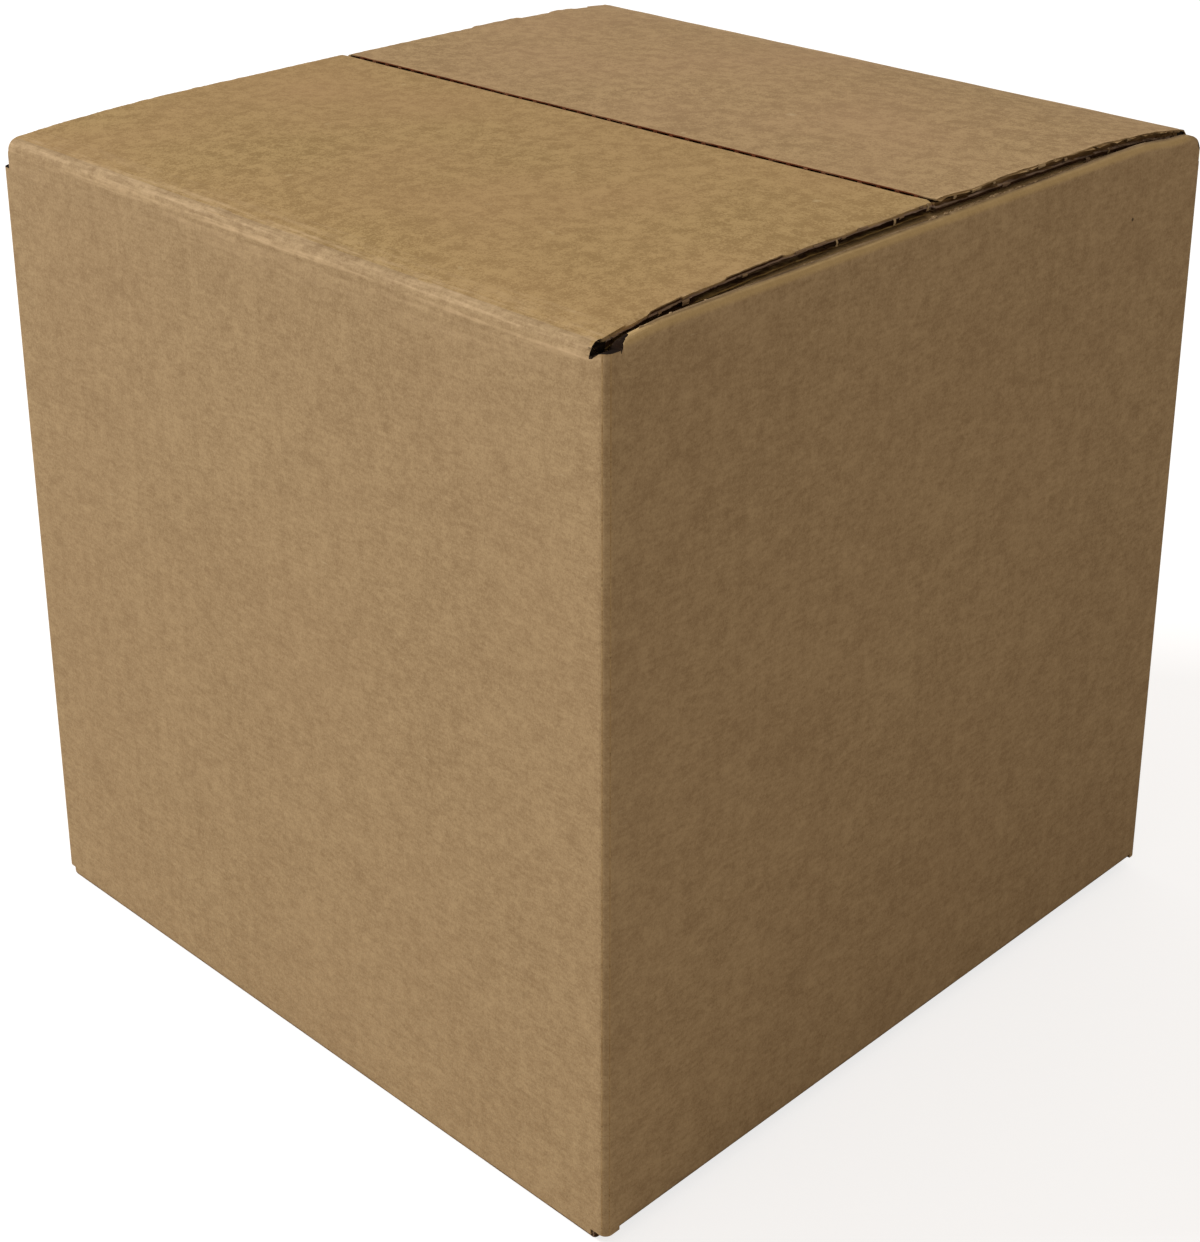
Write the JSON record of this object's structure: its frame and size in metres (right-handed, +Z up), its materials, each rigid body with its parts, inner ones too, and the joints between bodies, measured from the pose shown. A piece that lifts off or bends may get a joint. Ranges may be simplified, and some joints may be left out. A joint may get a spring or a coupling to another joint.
{
  "type": "closed cardboard box",
  "caption": "Closed cube-like slotted carton of single-wall corrugated board; the two outer top flaps meet at an open seam and swing on their creases.",
  "frame": {"origin": "middle of the base, on the floor", "axes": "+Z up, X along the creases of the outer flaps and the seam, Y across the seam; the picture shows the -Y face on its left and the +X face on its right"},
  "size_m": [0.31, 0.314, 0.322],
  "materials": {
    "kraft_board": "matt brown kraft liner with fine fibre mottling and raw fluted edges"
  },
  "bodies": {
    "box": {"carton": "kraft_board"},
    "front_flap": {"top_flap_front": "kraft_board"},
    "back_flap": {"top_flap_back": "kraft_board"}
  },
  "joints": [
    {"name": "front_crease", "type": "hinge", "parent": "box", "child": "front_flap", "pos_m": [0, -0.157, 0.3154], "axis": [1, 0, 0], "range_deg": [0, 250]},
    {"name": "back_crease", "type": "hinge", "parent": "box", "child": "back_flap", "pos_m": [0, 0.157, 0.3154], "axis": [-1, 0, 0], "range_deg": [0, 250]}
  ]
}
